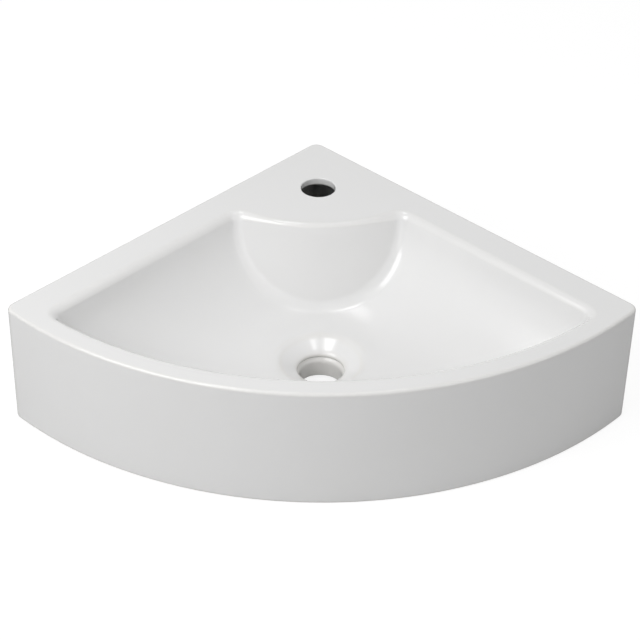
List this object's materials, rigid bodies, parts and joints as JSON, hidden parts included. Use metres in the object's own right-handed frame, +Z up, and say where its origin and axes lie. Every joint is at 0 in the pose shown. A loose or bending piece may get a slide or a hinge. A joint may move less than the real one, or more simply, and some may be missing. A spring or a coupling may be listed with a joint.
{
  "type": "corner basin",
  "caption": "Quadrant corner hand basin in white glazed china: bowed front skirt, tap deck over a leaning apron, round waste hole, and hanger-bolt wall fixings.",
  "frame": {"origin": "middle of the outline, on the plane of the bottom rim", "axes": "+X to the right along the width, +Y towards the corner of the room, -Y to the bowed front, +Z up"},
  "size_m": [0.5862, 0.4248, 0.127],
  "materials": {
    "glazed_china": "glossy white glaze",
    "grey_nylon": "moulded nylon",
    "white_nylon": "moulded nylon",
    "zinc_steel": "bright zinc plate"
  },
  "bodies": {
    "root": {"basin_body": "glazed_china", "wall_plugs": "grey_nylon", "hanger_bolts": "zinc_steel", "flanged_bushes": "white_nylon", "washers": "zinc_steel", "hex_nuts": "zinc_steel"}
  },
  "joints": []
}
